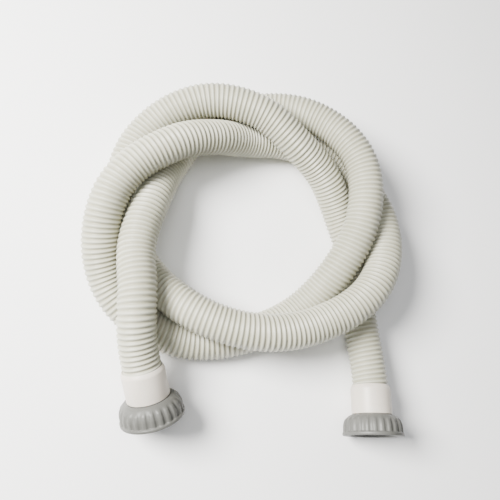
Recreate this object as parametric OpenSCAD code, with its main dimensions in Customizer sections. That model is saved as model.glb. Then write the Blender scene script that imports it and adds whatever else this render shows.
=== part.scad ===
// Vacuum hose for a pool or spa: one long ribbed hose, coiled into a loose
// wreath with both ends tucked through it. Each end has a smooth cuff, a
// rigid flanged tailpiece inside it, a flat rubber washer and a captive
// grey union nut that spins on the tailpiece.
// Millimetres, +Z up. The hose lies on the plane z = 0.

/* [Hose] */

// Inside diameter of the hose
hose_bore = 38; // [32:1:50]

// Outside diameter over the ribs
hose_od = 45; // [38:1:60]

// Sides of the swept hose tube
hose_sides = 12; // [8:1:12]

/* [Cuff] */

// Outside diameter of the smooth cuff
cuff_od = 50; // [44:0.5:66]

// Length of the cuff
cuff_len = 35; // [30:1:60]

// Length of hose glued inside the cuff
seat = 30; // [20:1:50]

/* [Union nut] */

// Outside diameter over the grip ribs
nut_od = 73; // [60:1:90]

// Outside diameter of the flared lip at the mouth
lip_od = 75; // [62:1:96]

// Length of the nut along its axis
nut_len = 25; // [22:1:40]

// Inside radius of the thread crests (2 in pipe thread)
thread_r = 28.33; // [25:0.01:32]

// Number of grip ribs round the nut
grips = 24; // [12:1:36]

/* [Tailpiece and washer] */

// Water way through the tailpiece
tail_bore = 32; // [24:1:36]

// Outside diameter of the neck that the nut turns on
neck_od = 44; // [40:0.5:50]

// Outside diameter of the flange inside the nut
flange_od = 56; // [50:0.5:60]

// Thickness of the flange
flange_t = 3.5; // [2:0.5:8]

// Thickness of the rubber washer
washer_t = 3; // [1:0.5:5]

/* [Hidden] */

$fn = 96;
eps = 0.01;

// The coil, clockwise from above, one station every 30 degrees, starting at
// 210 degrees with the left end: [distance from the middle, height].
ring = [
    // first turn
    [165, 75], [128, 58], [119, 27], [130, 24], [150, 25], [161, 55],
    [159, 76], [143, 76], [133, 56], [139, 26], [153, 23], [182, 23],
    // second turn
    [197, 33], [177, 71], [130, 81], [104, 63], [102, 36], [123, 26],
    [157, 26], [180, 48], [180, 70], [163, 67], [153, 69], [149, 57],
    // last three quarters
    [151, 27], [160, 24], [169, 36], [156, 63], [127, 77], [106, 70],
    [114, 50], [134, 26], [175, 23]
];
first_angle = 210;
station = 30;
// Where the middle of the coil is, so the whole part's box is centred
middle = [2.3, 52.5, 0.35];

// Where the back edge of each cuff is: [x, y, z], the way the end points in
// plan, measured from -Y toward +X, and its slope up from the horizontal.
left_end = [[-130, -194, 56], 17, -20];
right_end = [[160, -214, 31], -3, 7];

// How strongly each end runs straight before it joins the coil
left_reach = 170;
right_reach = 80;

half = 2;          // path rings in each 30 degree station
tail_steps = 4;    // path rings between the coil and each cuff
seat_steps = 1;    // path rings inside each cuff

nut_gap = 0.5;                        // play between nut and cuff
nut_s = cuff_len + nut_gap;           // back of the nut, along the axis
nut_wall = 6;                         // back wall of the nut
flange_s = nut_s + nut_wall + 0.5;    // back of the flange
washer_s = flange_s + flange_t;       // back of the washer
relief_r = thread_r + 1.7;            // room for the flange behind the thread
thread_s = washer_s + washer_t + 0.5; // where the thread starts
mouth_s = nut_s + nut_len;            // mouth of the nut

// ---------- route ----------

function cr(a, b, c, d, u) =
    0.5 * (2 * b + (c - a) * u + (2 * a - 5 * b + 4 * c - d) * u * u
           + (3 * b - a - 3 * c + d) * u * u * u);
last = len(ring) - 1;
function st(i) = i < 0 ? 2 * ring[0] - ring[1]
               : i > last ? 2 * ring[last] - ring[last - 1] : ring[i];
// a point of the coil at station t, which may be a fraction
function coil(t) =
    let (i = min(floor(t), last - 1), u = t - i,
         p = cr(st(i - 1), st(i), st(i + 1), st(i + 2), u),
         a = first_angle - station * t)
    [p[0] * cos(a), p[0] * sin(a), p[1]];

function unit(v) = v / norm(v);
function way(e) = [sin(e[1]) * cos(e[2]), -cos(e[1]) * cos(e[2]), sin(e[2])];
function hermite(p, m, q, n, t) =
    (2 * t * t * t - 3 * t * t + 1) * p + (t * t * t - 2 * t * t + t) * m
    + (3 * t * t - 2 * t * t * t) * q + (t * t * t - t * t) * n;

start_dir = unit(coil(0.02) - coil(0));
end_dir = unit(coil(last) - coil(last - 0.02));

route = concat(
    [for (k = [0 : seat_steps - 1])
        left_end[0] + way(left_end) * seat * (1 - k / seat_steps)],
    [for (k = [0 : tail_steps - 1])
        hermite(left_end[0], -way(left_end) * left_reach,
                coil(0), start_dir * left_reach, k / tail_steps)],
    [for (k = [0 : last * half]) coil(k / half)],
    [for (k = [1 : tail_steps])
        hermite(coil(last), end_dir * right_reach,
                right_end[0], way(right_end) * right_reach, k / tail_steps)],
    [for (k = [1 : seat_steps])
        right_end[0] + way(right_end) * seat * k / seat_steps]
);
n = len(route);

function tangent(i) =
    i == 0 ? unit(route[1] - route[0])
    : i == n - 1 ? unit(route[n - 1] - route[n - 2])
    : unit(unit(route[i + 1] - route[i]) + unit(route[i] - route[i - 1]));
// one closed section across the route
function section(i, r) =
    let (t = tangent(i), s = unit(cross(t, [0, 0, 1])), v = cross(s, t))
    [for (k = [0 : hose_sides - 1])
        let (a = 360 * k / hose_sides)
        route[i] + r * (cos(a) * s + sin(a) * v)];

// wall of the hose as one closed polyhedron: outside, inside and two end rings
module swept_wall(ro, ri) {
    m = hose_sides;
    pts = concat([for (i = [0 : n - 1]) each section(i, ro)],
                 [for (i = [0 : n - 1]) each section(i, ri)]);
    b = n * m;
    outer = [for (i = [0 : n - 2]) for (k = [0 : m - 1])
        let (j = (k + 1) % m) each [
            [i * m + k, i * m + j, (i + 1) * m + j],
            [i * m + k, (i + 1) * m + j, (i + 1) * m + k]]];
    inner = [for (i = [0 : n - 2]) for (k = [0 : m - 1])
        let (j = (k + 1) % m) each [
            [b + i * m + k, b + (i + 1) * m + j, b + i * m + j],
            [b + i * m + k, b + (i + 1) * m + k, b + (i + 1) * m + j]]];
    e = (n - 1) * m;
    ends = [for (k = [0 : m - 1])
        let (j = (k + 1) % m) each [
            [k, b + k, b + j], [k, b + j, j],
            [e + k, e + j, b + e + j], [e + k, b + e + j, b + e + k]]];
    polyhedron(points = pts, faces = concat(outer, inner, ends), convexity = 20);
}

// ---------- fittings, drawn along +Z from the back edge of the cuff ----------

module cuff_shape() {
    r = cuff_od / 2;
    h = hose_od / 2;
    rotate_extrude()
        polygon([[h, 0], [r - 1.8, 0], [r, 4], [r, cuff_len - 1],
                 [r - 1, cuff_len], [neck_od / 2, cuff_len],
                 [neck_od / 2, seat], [h, seat]]);
}

module tailpiece_shape() {
    b = tail_bore / 2;
    rotate_extrude()
        polygon([[b, 6], [hose_bore / 2 - 1, 6], [hose_bore / 2, 8],
                 [hose_bore / 2, seat], [neck_od / 2, seat],
                 [neck_od / 2, flange_s], [flange_od / 2, flange_s],
                 [flange_od / 2, washer_s], [b, washer_s]]);
}

module washer_shape() {
    translate([0, 0, washer_s]) difference() {
        cylinder(d = flange_od - 1, h = washer_t);
        translate([0, 0, -1]) cylinder(d = tail_bore + 2, h = washer_t + 2);
    }
}

module nut_shape() {
    root = nut_od / 2 - 1.5;
    lip = lip_od / 2;
    z0 = nut_s;
    z1 = mouth_s;
    union() {
            // body with its rounded shoulder and slim lip
            rotate_extrude()
                polygon([[neck_od / 2 + 0.5, z0], [root - 9, z0],
                         [root - 5.2, z0 + 2], [root - 2.6, z0 + 5.5],
                         [root - 1, z0 + 9], [root, z0 + 13], [root, z1 - 4.5],
                         [lip, z1 - 3.5], [lip, z1 - 1],
                         [lip - 1, z1], [thread_r + 1, z1],
                         [thread_r, z1 - 1], [thread_r, thread_s],
                         [relief_r, thread_s], [relief_r, z0 + nut_wall],
                         [neck_od / 2 + 0.5, z0 + nut_wall]]);
            // straight grip ribs
            for (k = [0 : grips - 1])
                rotate([0, 0, 360 * k / grips])
                    translate([0, -1.6, 0]) rotate([90, 0, 0])
                        mirror([0, 0, 1]) linear_extrude(3.2)
                            polygon([[root - 3.5, z0 + 4.5], [root - 2.2, z0 + 4.5],
                                     [root + 0.5, z0 + 9], [root + 1.5, z0 + 13],
                                     [root + 1.5, z1 - 4], [root - 3.5, z1 - 4]]);
    }
}

module at_end(e) {
    translate(e[0] + middle) rotate([0, 0, e[1]]) rotate([90 + e[2] * -1, 0, 0])
        children();
}

// ---------- pieces ----------

module hose_wall() color("ivory")
    translate(middle) swept_wall(hose_od / 2, hose_bore / 2);
module cuff_left() color("linen") at_end(left_end) cuff_shape();
module cuff_right() color("linen") at_end(right_end) cuff_shape();
module tailpiece_left() color("whitesmoke") at_end(left_end) tailpiece_shape();
module tailpiece_right() color("whitesmoke") at_end(right_end) tailpiece_shape();
module washer_left() color("dimgray") at_end(left_end) washer_shape();
module washer_right() color("dimgray") at_end(right_end) washer_shape();
module union_nut_left() color("gray") at_end(left_end) nut_shape();
module union_nut_right() color("gray") at_end(right_end) nut_shape();

hose_wall();
cuff_left();
cuff_right();
tailpiece_left();
tailpiece_right();
washer_left();
washer_right();
union_nut_left();
union_nut_right();
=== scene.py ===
import math
import bpy
from mathutils import Matrix, Vector


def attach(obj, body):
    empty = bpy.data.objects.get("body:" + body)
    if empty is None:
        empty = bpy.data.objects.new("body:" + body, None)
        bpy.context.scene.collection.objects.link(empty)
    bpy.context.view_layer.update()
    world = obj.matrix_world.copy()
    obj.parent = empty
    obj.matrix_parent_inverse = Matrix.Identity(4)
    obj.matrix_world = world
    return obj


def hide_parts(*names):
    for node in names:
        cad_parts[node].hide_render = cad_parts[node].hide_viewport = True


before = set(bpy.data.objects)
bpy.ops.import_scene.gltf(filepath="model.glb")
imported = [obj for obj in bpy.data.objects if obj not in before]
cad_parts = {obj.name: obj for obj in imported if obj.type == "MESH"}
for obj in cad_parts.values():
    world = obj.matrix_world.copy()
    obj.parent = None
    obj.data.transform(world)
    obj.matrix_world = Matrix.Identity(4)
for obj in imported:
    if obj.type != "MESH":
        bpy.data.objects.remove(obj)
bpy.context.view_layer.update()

MM = 0.001

# ---------------------------------------------------------------- route
# The same round numbers as the CAD model's route, in millimetres here and
# turned into metres with MM.
RING = [
    (165, 75), (128, 58), (119, 27), (130, 24), (150, 25), (161, 55),
    (159, 76), (143, 76), (133, 56), (139, 26), (153, 23), (182, 23),
    (197, 33), (177, 71), (130, 81), (104, 63), (102, 36), (123, 26),
    (157, 26), (180, 48), (180, 70), (163, 67), (153, 69), (149, 57),
    (151, 27), (160, 24), (169, 36), (156, 63), (127, 77), (106, 70),
    (114, 50), (134, 26), (175, 23),
]
FIRST_ANGLE = 210
STATION = 30
MIDDLE = Vector((2.3, 52.5, 0.35))
LEFT = (Vector((-130, -194, 56)), 17, -20)
RIGHT = (Vector((160, -214, 31)), -3, 7)
LEFT_REACH = 170
RIGHT_REACH = 80
SEAT = 30
HOSE_OD = 45.0
HOSE_BORE = 38.0
CUFF_LEN = 35.0
LAST = len(RING) - 1


def station(i):
    if i < 0:
        return (2 * RING[0][0] - RING[1][0], 2 * RING[0][1] - RING[1][1])
    if i > LAST:
        return (2 * RING[LAST][0] - RING[LAST - 1][0],
                2 * RING[LAST][1] - RING[LAST - 1][1])
    return RING[i]


def spline(a, b, c, d, u):
    return 0.5 * (2 * b + (c - a) * u + (2 * a - 5 * b + 4 * c - d) * u * u
                  + (3 * b - a - 3 * c + d) * u ** 3)


def coil(t):
    i = min(int(math.floor(t)), LAST - 1)
    u = t - i
    k = [station(j) for j in (i - 1, i, i + 1, i + 2)]
    r = spline(*[p[0] for p in k], u)
    z = spline(*[p[1] for p in k], u)
    a = math.radians(FIRST_ANGLE - STATION * t)
    return Vector((r * math.cos(a), r * math.sin(a), z))


def way(end):
    yaw, slope = math.radians(end[1]), math.radians(end[2])
    return Vector((math.sin(yaw) * math.cos(slope),
                   -math.cos(yaw) * math.cos(slope), math.sin(slope)))


def hermite(p, m, q, n, t):
    return ((2 * t ** 3 - 3 * t * t + 1) * p + (t ** 3 - 2 * t * t + t) * m
            + (3 * t * t - 2 * t ** 3) * q + (t ** 3 - t * t) * n)


def fine_route():
    """The hose's centreline in millimetres, from the end inside the left cuff
    to the end inside the right cuff."""
    start = (coil(0.02) - coil(0)).normalized()
    stop = (coil(LAST) - coil(LAST - 0.02)).normalized()
    pts = [LEFT[0] + way(LEFT) * SEAT * (1 - k / 8) for k in range(8)]
    pts += [hermite(LEFT[0], -way(LEFT) * LEFT_REACH, coil(0), start * LEFT_REACH, k / 48)
            for k in range(48)]
    pts += [coil(k / 24) for k in range(LAST * 24 + 1)]
    pts += [hermite(coil(LAST), stop * RIGHT_REACH, RIGHT[0], way(RIGHT) * RIGHT_REACH, k / 48)
            for k in range(1, 49)]
    pts += [RIGHT[0] + way(RIGHT) * SEAT * k / 8 for k in range(1, 9)]
    return [p + MIDDLE for p in pts]


def resample(pts, step):
    """Points at equal spacing along a polyline, close to step apart."""
    total = sum((b - a).length for a, b in zip(pts, pts[1:]))
    n = max(2, int(round(total / step)))
    gap = total / n
    out, i, left = [pts[0].copy()], 0, gap
    a = pts[0].copy()
    while len(out) < n and i < len(pts) - 1:
        b = pts[i + 1]
        d = (b - a).length
        if d >= left:
            a = a + (b - a) * (left / d)
            out.append(a.copy())
            left = gap
        else:
            left -= d
            a = b.copy()
            i += 1
    out.append(pts[-1].copy())
    return out, total


# ---------------------------------------------------------------- camera
def make_camera():
    elevation, azimuth, distance = math.radians(69), math.radians(-42), 785.0
    target = MIDDLE.copy()
    place = target + distance * Vector((
        math.cos(elevation) * math.sin(azimuth),
        -math.cos(elevation) * math.cos(azimuth),
        math.sin(elevation)))
    forward = (target - place).normalized()
    up = Vector((0, 1, 0))
    up = (up - up.dot(forward) * forward).normalized()
    right = forward.cross(up)
    data = bpy.data.cameras.new("camera")
    data.sensor_width = 36
    data.lens = 581 / 500 * 36
    data.shift_x = 8 / 500
    data.shift_y = -29 / 500
    data.clip_end = 20
    cam = bpy.data.objects.new("camera", data)
    bpy.context.scene.collection.objects.link(cam)
    m = Matrix((right, up, -forward)).transposed().to_4x4()
    m.translation = place * MM
    cam.matrix_world = m
    bpy.context.scene.camera = cam


make_camera()


# ---------------------------------------------------------------- helpers
def new_mesh(name, verts, faces, smooth=True):
    mesh = bpy.data.meshes.new(name)
    mesh.from_pydata([tuple(v) for v in verts], [], faces)
    mesh.update()
    if smooth:
        mesh.shade_smooth()
    obj = bpy.data.objects.new(name, mesh)
    bpy.context.scene.collection.objects.link(obj)
    return obj


def frame_of(end):
    """Matrix that puts a shape drawn along +Z from the cuff's back edge, in
    millimetres, in its place in metres."""
    z = way(end)
    x = Vector((math.cos(math.radians(end[1])), math.sin(math.radians(end[1])), 0))
    y = z.cross(x)
    m = Matrix((x, y, z)).transposed().to_4x4()
    m.translation = end[0] + MIDDLE
    return Matrix.Scale(MM, 4) @ m


def lathe(name, profile, around, end, push=None):
    """Closed surface of revolution: profile is a loop of (axial, radius).
    push(k, axial, radius, angle) may return another (axial, radius)."""
    m = frame_of(end)
    verts, faces = [], []
    n = len(profile)
    for j in range(around):
        a = 2 * math.pi * j / around
        for k, (s, r) in enumerate(profile):
            if push:
                s, r = push(k, s, r, a)
            verts.append(m @ Vector((r * math.cos(a), r * math.sin(a), s)))
    for j in range(around):
        j2 = (j + 1) % around
        for k in range(n):
            k2 = (k + 1) % n
            faces.append((j * n + k, j * n + k2, j2 * n + k2, j2 * n + k))
    obj = new_mesh(name, verts, faces)
    return obj


def fix_normals(obj, sharp=35):
    import bmesh
    bm = bmesh.new()
    bm.from_mesh(obj.data)
    bmesh.ops.recalc_face_normals(bm, faces=bm.faces)
    limit = math.radians(sharp)
    for e in bm.edges:
        if len(e.link_faces) == 2 and e.calc_face_angle(0) > limit:
            e.smooth = False
    bm.to_mesh(obj.data)
    bm.free()
    obj.data.update()


def round_corners(loop, radii, steps=4):
    """A closed loop of corners with each corner rounded by its own radius."""
    out = []
    n = len(loop)
    for i in range(n):
        p, c, q = (Vector(loop[i - 1]), Vector(loop[i]), Vector(loop[(i + 1) % n]))
        r = radii[i] if isinstance(radii, (list, tuple)) else radii
        u, v = (p - c), (q - c)
        d = min(r, u.length * 0.45, v.length * 0.45)
        if d < 0.02:
            out.append(tuple(c))
            continue
        a, b = c + u.normalized() * d, c + v.normalized() * d
        for k in range(steps + 1):
            t = k / steps
            w = (1 - t) ** 2 * a + 2 * t * (1 - t) * c + t * t * b
            out.append(tuple(w))
    return out


# ---------------------------------------------------------------- materials
def nodes_of(name):
    mat = bpy.data.materials.new(name)
    mat.use_nodes = True
    nt = mat.node_tree
    bsdf = nt.nodes["Principled BSDF"]
    return mat, nt, bsdf


def put(socket_owner, name, value):
    if name in socket_owner.inputs:
        socket_owner.inputs[name].default_value = value


def noise(nt, scale, detail, rough=0.5, coords=None):
    n = nt.nodes.new("ShaderNodeTexNoise")
    n.inputs["Scale"].default_value = scale
    n.inputs["Detail"].default_value = detail
    n.inputs["Roughness"].default_value = rough
    if coords is not None:
        nt.links.new(coords, n.inputs["Vector"])
    return n


def ramp(nt, fac, stops):
    r = nt.nodes.new("ShaderNodeValToRGB")
    r.color_ramp.elements[0].position = stops[0][0]
    r.color_ramp.elements[0].color = (*stops[0][1], 1)
    r.color_ramp.elements[1].position = stops[-1][0]
    r.color_ramp.elements[1].color = (*stops[-1][1], 1)
    for pos, col in stops[1:-1]:
        e = r.color_ramp.elements.new(pos)
        e.color = (*col, 1)
    nt.links.new(fac, r.inputs["Fac"])
    return r


def mix(nt, fac, a, b, kind="MIX"):
    m = nt.nodes.new("ShaderNodeMix")
    m.data_type = "RGBA"
    m.blend_type = kind
    if isinstance(fac, (int, float)):
        m.inputs["Factor"].default_value = fac
    else:
        nt.links.new(fac, m.inputs["Factor"])
    nt.links.new(a, m.inputs[6])
    if isinstance(b, (tuple, list)):
        m.inputs[7].default_value = (*b, 1)
    else:
        nt.links.new(b, m.inputs[7])
    return m


def bump(nt, bsdf, height, strength, distance):
    b = nt.nodes.new("ShaderNodeBump")
    b.inputs["Strength"].default_value = strength
    b.inputs["Distance"].default_value = distance
    nt.links.new(height, b.inputs["Height"])
    nt.links.new(b.outputs["Normal"], bsdf.inputs["Normal"])
    return b


def plastic(name, light, dark, rough, spread, grain, grain_scale, sss=0.0,
            groove_shade=None):
    """Moulded plastic: two close tones in soft clouds, a fine grain, and a
    roughness that wanders a little. A groove colour, if given, is painted
    shade multiplied in along the mesh's groove mask."""
    mat, nt, bsdf = nodes_of(name)
    tex = nt.nodes.new("ShaderNodeTexCoord")
    obj = tex.outputs["Object"]
    cloud = noise(nt, 22, 4, 0.55, obj)
    fine = noise(nt, grain_scale, 3, 0.6, obj)
    tone = ramp(nt, cloud.outputs["Fac"], [(0.35, dark), (0.65, light)])
    colour = tone.outputs["Color"]
    # painted shade: the groove colour multiplies the base colour where the groove mask is up,
    # darkening the hose's rib grooves and bore as shade would
    if groove_shade is not None:
        att = nt.nodes.new("ShaderNodeAttribute")
        att.attribute_name = "groove_shade"
        m = mix(nt, att.outputs["Fac"], colour, groove_shade, "MULTIPLY")
        colour = m.outputs[2]
    nt.links.new(colour, bsdf.inputs["Base Color"])
    rr = nt.nodes.new("ShaderNodeMapRange")
    rr.inputs["To Min"].default_value = rough - spread
    rr.inputs["To Max"].default_value = rough + spread
    nt.links.new(fine.outputs["Fac"], rr.inputs["Value"])
    nt.links.new(rr.outputs["Result"], bsdf.inputs["Roughness"])
    bump(nt, bsdf, fine.outputs["Fac"], grain, 0.0004)
    put(bsdf, "Specular IOR Level", 0.4)
    if sss:
        put(bsdf, "Subsurface Weight", sss)
        put(bsdf, "Subsurface Radius", (0.006, 0.004, 0.0025))
        put(bsdf, "Subsurface Scale", 0.4)
    return mat


# the groove colour below is painted shade for the rib grooves and the bore, not a colour of
# the plastic
hose_mat = plastic("hose_plastic", (0.475, 0.472, 0.385), (0.415, 0.414, 0.330),
                   0.42, 0.08, 0.15, 900, sss=0.06, groove_shade=(0.68, 0.655, 0.59))
cuff_mat = plastic("cuff_plastic", (0.60, 0.55, 0.48), (0.54, 0.492, 0.425),
                   0.38, 0.06, 0.12, 1100, sss=0.10)
tail_mat = plastic("tailpiece_plastic", (0.58, 0.56, 0.52), (0.52, 0.50, 0.465),
                   0.40, 0.06, 0.12, 1100)
rubber_mat = plastic("washer_rubber", (0.035, 0.035, 0.038), (0.022, 0.022, 0.024),
                     0.62, 0.10, 0.35, 1800)
nut_mat = plastic("nut_plastic", (0.112, 0.112, 0.102), (0.086, 0.086, 0.078),
                  0.46, 0.07, 0.30, 1500)


# ---------------------------------------------------------------- hose
PITCH = 5.8
RIB = 1.9


def rib_height(u):
    """0 in the groove, 1 on the crest, over one turn of the wound strip."""
    return (0.5 - 0.5 * math.cos(math.tau * u)) ** 0.9


def make_hose():
    base, length = resample(fine_route(), 0.66)
    n = len(base)
    around = 44
    # directions across the route
    outer, groove_shade = [], []
    cuts = [math.tau * k / around for k in range(around)]
    cs = [(math.cos(a), math.sin(a), a / math.tau) for a in cuts]
    frames = []
    for i in range(n):
        t = (base[min(i + 3, n - 1)] - base[max(i - 3, 0)]).normalized()
        s = t.cross(Vector((0, 0, 1))).normalized()
        v = s.cross(t)
        frames.append((t, s, v))
    step = length / (n - 1)
    for i in range(n):
        t, s, v = frames[i]
        p = base[i]
        for c, d, f in cs:
            h = rib_height(i * step / PITCH + f)
            r = HOSE_OD / 2 - RIB * (1 - h)
            outer.append((p + r * (c * s + d * v)) * MM)
            # groove mask for painted shade: 1 at the bottom of a rib groove, 0 on the crest
            groove_shade.append(1 - h)
    inner = []
    every = 4
    picks = sorted(set(list(range(0, n, every)) + [n - 1]))
    for i in picks:
        t, s, v = frames[i]
        p = base[i]
        for c, d, f in cs:
            h = rib_height(i * step / PITCH + f)
            inner.append((p + (HOSE_BORE / 2 + 0.5 * h) * (c * s + d * v)) * MM)
            # painted shade: the bore's inside gets a fixed 0.6 of the painted groove shade,
            # darker as if shaded inside the tube
            groove_shade.append(0.6)
    faces = []
    for i in range(n - 1):
        for k in range(around):
            j = (k + 1) % around
            a, b = i * around, (i + 1) * around
            faces.append((a + k, a + j, b + j, b + k))
    o = n * around
    for i in range(len(picks) - 1):
        for k in range(around):
            j = (k + 1) % around
            a, b = o + i * around, o + (i + 1) * around
            faces.append((a + k, b + k, b + j, a + j))
    e, q = (n - 1) * around, o + (len(picks) - 1) * around
    for k in range(around):
        j = (k + 1) % around
        faces.append((k, o + k, o + j, j))
        faces.append((e + k, e + j, q + j, q + k))
    hose = new_mesh("hose", outer + inner, faces)
    # the groove mask is stored on the mesh to carry the painted shade into the hose material
    att = hose.data.attributes.new("groove_shade", "FLOAT", "POINT")
    att.data.foreach_set("value", groove_shade)
    hose.data.materials.append(hose_mat)
    path = [tuple(p * MM) for p in base[::8]]
    if (base[-1] * MM - Vector(path[-1])).length > 1e-6:
        path.append(tuple(base[-1] * MM))
    return hose, path, length * MM


hose, hose_path, hose_length = make_hose()
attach(hose, "hose")
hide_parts("hose_wall")


# ---------------------------------------------------------------- fittings
def make_cuff(name, end, node):
    r = 25.0
    loop = [(0, 22.62), (0, r - 1.9), (4.2, r), (CUFF_LEN, r),
            (CUFF_LEN, 22.05), (SEAT + 0.2, 22.05), (SEAT + 0.2, 22.62)]
    radii = [0.3, 0.8, 1.6, 0.9, 0.3, 0.2, 0.2]
    prof = round_corners(loop, radii)
    obj = lathe(name, prof, 96, end)
    fix_normals(obj, 50)
    obj.data.materials.append(cuff_mat)
    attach(obj, "hose")
    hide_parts(node)
    return obj


NUT_S = CUFF_LEN + 0.5
NUT_LEN = 25.0
MOUTH = NUT_S + NUT_LEN
THREAD_R = 28.4
THREAD_S = 49.0


def make_tailpiece(name, end, node):
    loop = [(6, 16), (6, 18), (8, 18.9), (SEAT, 18.9), (SEAT + 0.4, 21.95),
            (42, 21.95), (42, 28), (45.5, 28), (45.5, 16)]
    radii = [0.6, 0.5, 0.5, 0.1, 0.2, 0.8, 0.5, 0.5, 0.8]
    prof = round_corners(loop, radii)
    obj = lathe(name, prof, 96, end)
    fix_normals(obj, 50)
    obj.data.materials.append(tail_mat)
    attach(obj, "hose")
    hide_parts(node)
    return obj


def make_washer(name, end, node):
    loop = [(45.5, 17), (45.5, 27.5), (48.5, 27.5), (48.5, 25.6), (48.1, 25.2),
            (48.1, 24.2), (48.5, 23.8), (48.5, 21.2), (48.1, 20.8),
            (48.1, 19.8), (48.5, 19.4), (48.5, 17)]
    prof = round_corners(loop, [0.6, 0.6, 0.6, 0.2, 0.2, 0.2, 0.2, 0.2, 0.2, 0.2,
                                0.2, 0.6])
    obj = lathe(name, prof, 96, end)
    fix_normals(obj, 60)
    obj.data.materials.append(rubber_mat)
    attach(obj, "hose")
    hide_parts(node)
    return obj


GRIPS = 24


def make_nut(name, end, node, body):
    root = 35.0
    lip = 37.5
    z0, z1 = NUT_S, MOUTH
    outer = [(z0, 22.7), (z0, 25.8), (z0 + 1.9, 29.7), (z0 + 5.2, 32.4),
             (z0 + 9.0, 34.0), (z0 + 13.0, root), (z1 - 4.6, root + 0.2),
             (z1 - 3.6, lip), (z1 - 0.9, lip), (z1, lip - 1.0),
             (z1, THREAD_R + 1.1), (z1 - 1.0, THREAD_R)]
    rad = [0.5, 1.0, 1.6, 2.0, 2.2, 2.4, 0.5, 0.7, 0.6, 0.5, 0.4, 0.2]
    head = round_corners(outer + [(THREAD_S, THREAD_R)], rad + [0.0])[:-1]
    # points added along the straight runs so ribs and thread have room to form
    prof = []
    for a, b in zip(head, head[1:]):
        prof.append(a)
        gap = math.hypot(b[0] - a[0], b[1] - a[1])
        k = int(gap / 0.9)
        for m in range(1, k):
            prof.append((a[0] + (b[0] - a[0]) * m / k, a[1] + (b[1] - a[1]) * m / k))
    prof.append(head[-1])
    turn_start = len(prof)
    pitch = 2.309
    s = z1 - 1.2
    while s > THREAD_S + 0.3:
        prof.append((s, THREAD_R))
        s -= pitch / 8
    turn_end = len(prof)
    prof += [(THREAD_S, THREAD_R + 1.5), (z0 + 6.0, THREAD_R + 1.5),
             (z0 + 6.0, 22.7), (z0 + 3.0, 22.7)]
    around = GRIPS * 10
    lo, hi = z0 + 2.6, z1 - 4.4

    def push(k, s, r, a):
        if turn_start <= k < turn_end:
            f = s / pitch - a / math.tau
            f -= math.floor(f)
            tooth = abs(2 * f - 1)
            fade = min(1.0, (z1 - 1.0 - s) / 1.5, (s - THREAD_S) / 1.5)
            return s, r + 1.25 * min(1.0, max(0.0, 1.25 * tooth - 0.12)) * max(fade, 0)
        if k < turn_start and r > 30 and lo < s < hi + 0.6:
            f = (a / math.tau * GRIPS) % 1.0
            x = abs(2 * f - 1)            # 1 at the groove, 0 on the rib
            h = 1 / (1 + math.exp((x - 0.52) * 16))
            along = min(1.0, (s - lo) / 4.0, (hi + 0.6 - s) / 0.6)
            return s, r + 1.4 * h * max(0.0, along)
        return s, r

    obj = lathe(name, prof, around, end, push)
    fix_normals(obj, 40)
    obj.data.materials.append(nut_mat)
    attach(obj, body)
    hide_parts(node)
    return obj


cuff_l = make_cuff("cuff_left_detail", LEFT, "cuff_left")
cuff_r = make_cuff("cuff_right_detail", RIGHT, "cuff_right")
tail_l = make_tailpiece("tailpiece_left_detail", LEFT, "tailpiece_left")
tail_r = make_tailpiece("tailpiece_right_detail", RIGHT, "tailpiece_right")
wash_l = make_washer("washer_left_detail", LEFT, "washer_left")
wash_r = make_washer("washer_right_detail", RIGHT, "washer_right")
nut_l = make_nut("union_nut_left_detail", LEFT, "union_nut_left", "nut_left")
nut_r = make_nut("union_nut_right_detail", RIGHT, "union_nut_right", "nut_right")


# ---------------------------------------------------------------- studio
def make_floor():
    mesh = bpy.data.meshes.new("floor")
    mesh.from_pydata([(-4, -4, 0), (4, -4, 0), (4, 4, 0), (-4, 4, 0)], [],
                     [(0, 1, 2, 3)])
    floor = bpy.data.objects.new("floor", mesh)
    floor.location.z = -0.0004
    bpy.context.scene.collection.objects.link(floor)
    mat, nt, bsdf = nodes_of("floor")
    tex = nt.nodes.new("ShaderNodeTexCoord")
    n = noise(nt, 3, 2, 0.5, tex.outputs["Object"])
    r = ramp(nt, n.outputs["Fac"], [(0.3, (0.94, 0.94, 0.94)), (0.7, (0.955, 0.955, 0.955))])
    nt.links.new(r.outputs["Color"], bsdf.inputs["Base Color"])
    bsdf.inputs["Roughness"].default_value = 0.9
    floor.data.materials.append(mat)


def area(name, place, aim, size, power, colour=(1, 1, 1)):
    data = bpy.data.lights.new(name, "AREA")
    data.shape = "DISK"
    data.size = size
    data.energy = power
    data.color = colour
    light = bpy.data.objects.new(name, data)
    bpy.context.scene.collection.objects.link(light)
    light.location = place
    d = Vector(aim) - Vector(place)
    light.rotation_euler = d.to_track_quat("-Z", "Y").to_euler()
    return light


make_floor()
area("key", (-1.05, 0.2, 1.1), (-0.05, 0, 0), 0.7, 118, (1.0, 0.985, 0.955))
area("fill", (-0.35, -0.05, 1.9), (0, 0, 0), 1.2, 18, (0.98, 0.99, 1.0))
world = bpy.data.worlds.new("world")
world.use_nodes = True
bg = world.node_tree.nodes["Background"]
bg.inputs["Color"].default_value = (1, 1, 1, 1)
bg.inputs["Strength"].default_value = 0.2
bpy.context.scene.world = world
